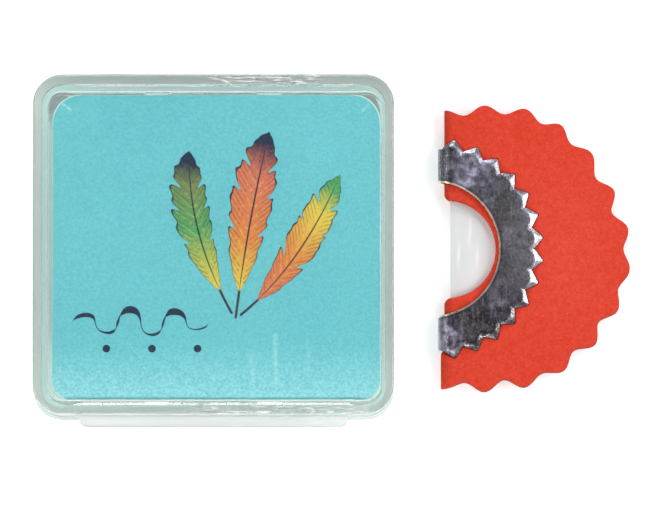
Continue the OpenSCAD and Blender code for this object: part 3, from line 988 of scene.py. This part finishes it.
shoulder, flat_share, bore_curl, curl_w, curl_soft = 12.0, 0.36, 0.22, 0.06, 0.001
tin_t, burr_r, weld_reach = 0.3, 0.05, 0.002
tree, size = open_tree("folded_toothed_ring", sizes)
inner, root, tip = size["Inner radius"], size["Root radius"], size["Tip radius"]
fold, fold_x, behind = size["Fold radius"], size["Fold place"], size["Centre behind fold"]
grid, along, over = flat_grid(tree, 2, 1, 421, 37)
over = over + 0.5
flat_part = (over / flat_share).do("MINIMUM", 1.0).do("POWER", 2.2)
tooth_part = ((over - flat_share) / (1 - flat_share)).do("MAXIMUM", 0.0)
plain = inner + (inner * -1 + shoulder) * flat_part
fold_gap = fold_x - fold * (math.pi / 2) + behind
plain_out = plain + (root - shoulder) * tooth_part
theta = along * (fold_gap / plain_out).do("ARCCOSINE")
cell = theta * size["Teeth"] / (2 * math.pi)
number = cell.do("FLOOR")
local = (cell - number - 0.5) * (2 * math.pi) / size["Teeth"]
half_cell = size["Teeth"].do("POWER", -1.0) * math.pi
root_x, root_y = root * half_cell.do("COSINE"), root * half_cell.do("SINE")
tooth_deep = tip - root_x
flank = tip * root_y / (
    root_y * local.do("COSINE") + tooth_deep * local.do("ABSOLUTE").do("SINE")
)
toothed = theta.do("ABSOLUTE").do("LESS_THAN", math.radians(end_turn))
outer_r = root + (flank - root) * toothed
radius = plain + (outer_r - shoulder) * tooth_part
flat_x = radius * theta.do("COSINE") - behind
tooth_x, tooth_y = radius * local.do("COSINE"), radius * local.do("SINE")
lobe_x = tooth_x - lobe_far
past = (lobe_x * lobe_x + tooth_y * tooth_y).do("SQRT") - lobe_r
uneven = (number * unlike_step + unlike_start).do("SINE") * unlike + 1
brim = (tooth_x - tip) * root_y + tooth_y.do("ABSOLUTE") * tooth_deep
brim = brim / (root_y * root_y + tooth_deep * tooth_deep).do("SQRT") + size["Brim width"]
drop = size["Tooth slope"] * above_none(past, lobe_soft)
drop = (drop + size["Brim slope"] * above_none(brim, brim_soft)) * uneven * toothed
drop = drop + above_none(inner + curl_w - radius, curl_soft) * bore_curl
bend = (fold_x - flat_x).do("MAXIMUM", 0.0) / fold
out = fold - drop
shape_it = join_up(grid, move_points(
    tree, flat_x.do("MAXIMUM", fold_x) - out * bend.do("SINE"), radius * theta.do("SINE"),
    out * bend.do("COSINE"),
))
mirror = set_up(tree.nodes.new("GeometryNodeTransform"), Scale=(1, 1, -1))
together = tree.nodes.new("GeometryNodeJoinGeometry")
weld = set_up(tree.nodes.new("GeometryNodeMergeByDistance"), Distance=weld_reach)
join_up(shape_it, mirror, tree.nodes.new("GeometryNodeFlipFaces"), together)
join_up(shape_it, together)
smooth = join_up(together, weld, tree.nodes.new("GeometryNodeSetShadeSmooth"))
close_tree(tree, size["Finish"], smooth, call)
ring = node_piece("toothed_ring", tree, tin, sizes)
skin = ring.modifiers.new("thickness", "SOLIDIFY")
skin.thickness, skin.offset = tin_t * MM, -1
burr = ring.modifiers.new("edges", "BEVEL")
burr.width, burr.segments, burr.limit_method = burr_r * MM, 2, "ANGLE"
burr.angle_limit = math.radians(60)
machine(ring, [], "UNION", 40)
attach(ring, "call")
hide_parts("clamp_ring")

# ---------------------------------------------------------------- Film
# A half-moon of thin, milky film held between the two leaves, stretched a little unevenly,
# so that it has faint ridges running along its free edge.
film_x, film_r, film_t, columns, lines = 0.73, 10.6, 0.08, 90, 121
far_half, crowding, free_r, ridge_h, ripple_h = 0.6, 1.15, 5.9, 0.02, 0.008
points = []
for i in range(columns):
    x = film_x + (film_r + ring_x - film_x) * (i / (columns - 1)) ** crowding
    half = math.sqrt(max(film_r**2 - (x - ring_x) ** 2, 0)) if i < columns - 1 else far_half
    for j in range(lines):
        y = half * (2 * j / (lines - 1) - 1)
        free = 1 - min(math.hypot(x - window_x, y) / free_r, 1) ** 4
        wave = ridge_h * math.sin(1.6 * x + 0.12 * y) + ripple_h * math.sin(5.1 * x - 0.2 * y + 1)
        points.append((call.x + x, call.y + y, call.z + wave * free + film_t / 2))
points += [(x, y, z - film_t) for x, y, z in points]
n = columns * lines
grid = np.arange(n).reshape(columns, lines)
faces = []
for a, b in zip(grid[:-1, :-1].ravel().tolist(), grid[1:, :-1].ravel().tolist()):
    faces += [[a, b, b + 1, a + 1], [n + a + 1, n + b + 1, n + b, n + a]]
border = np.concatenate([grid[0], grid[1:, -1], grid[-1, -2::-1], grid[-2:0:-1, 0]]).tolist()
for a, b in zip(border, border[1:] + border[:1]):
    faces.append([a, b, n + b, n + a])
film = new_piece("film_leaf", points, faces, 40)

milky, tree, shader = finish_of("milky_film", Roughness=0.22, IOR=1.46)
x, y, _ = here_in(tree)
x, y = x - call.x, y - call.y
# Painted highlights: soft white streaks where the lights are reflected on the film.
painted_streaks = 0
for streak_x, streak_y, streak_long in ((1.83, -0.5, 1.5), (4.15, -0.9, 1.2), (3.1, 2.2, 1.9)):
    painted_streaks = bell((x - streak_x - y * 0.05) / 0.14, (y - streak_y) / streak_long) + painted_streaks
set_up(shader, Base_Color=paint(
    (0.76, 0.77, 0.78), (mottle(tree, 3, stretch=(1, 0.25, 1)), (0.84, 0.84, 0.855)),
    (painted_streaks * 0.7, (1, 1, 1)),
))
see_through(shader, 0.25)
film.data.materials.append(milky)
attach(film, "call")
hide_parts("call_film")

# ---------------------------------------------------------------- Floor and light
# A plain pale floor and a pale surround that is darker overhead, with soft lights from the
# right and the left and two weaker, narrower ones from the front and the rear.
far, floor_low = 1500, -0.02
corners = [(-far, -far), (far, -far), (far, far), (-far, far)]
floor = new_piece("floor", [(x, y, floor_low) for x, y in corners], [[0, 1, 2, 3]])
paper, tree, shader = finish_of(
    "pale_floor", Base_Color=(0.80, 0.83, 0.83), Roughness=0.9,
    Emission_Color=(0.95, 1.0, 1.0), Emission_Strength=0.44,
)
floor.data.materials.append(paper)

world = bpy.data.worlds.new("surround")
world.use_nodes = True
scene.world = world
sky = world.node_tree
heights = set_up(
    sky.nodes.new("ShaderNodeSeparateXYZ"),
    Vector=sky.nodes.new("ShaderNodeTexCoord").outputs["Generated"],
)
ramp = set_up(sky.nodes.new("ShaderNodeValToRGB"), Fac=heights.outputs["Z"])
set_up(sky.nodes["Background"], Color=ramp.outputs["Color"], Strength=1.0)
level, overhead = ramp.color_ramp.elements
level.position, level.color = 0.1, (0.42, 0.43, 0.43, 1)
overhead.position, overhead.color = 0.92, (0.135, 0.135, 0.15, 1)


def soft_light(name, azimuth, elevation, distance, width, height, power, colour):
    """An area light that looks at the object from a compass angle (0 is +X, 90 is +Y)."""
    light = placed(name, bpy.data.lights.new(name, "AREA"))
    a, e = math.radians(azimuth), math.radians(elevation)
    toward = Vector((math.cos(a) * math.cos(e), math.sin(a) * math.cos(e), math.sin(e)))
    light.location = toward * distance
    light.rotation_euler = toward.to_track_quat("Z", "Y").to_euler()
    light.data.shape, light.data.size, light.data.size_y = "RECTANGLE", width, height
    light.data.energy, light.data.color = power, colour


soft_light("light_right", 12, 42, 0.5, 0.34, 0.26, 1.5, (1, 1, 1))
soft_light("light_left", 205, 38, 0.6, 0.46, 0.30, 2.1, (1, 0.98, 0.94))
soft_light("light_front", 270, 46, 0.6, 0.34, 0.06, 0.80, (1, 1, 0.95))
soft_light("light_rear", 91, 33, 0.5, 0.22, 0.11, 0.7, (1, 0.98, 0.96))
scene.view_settings.view_transform = "Standard"
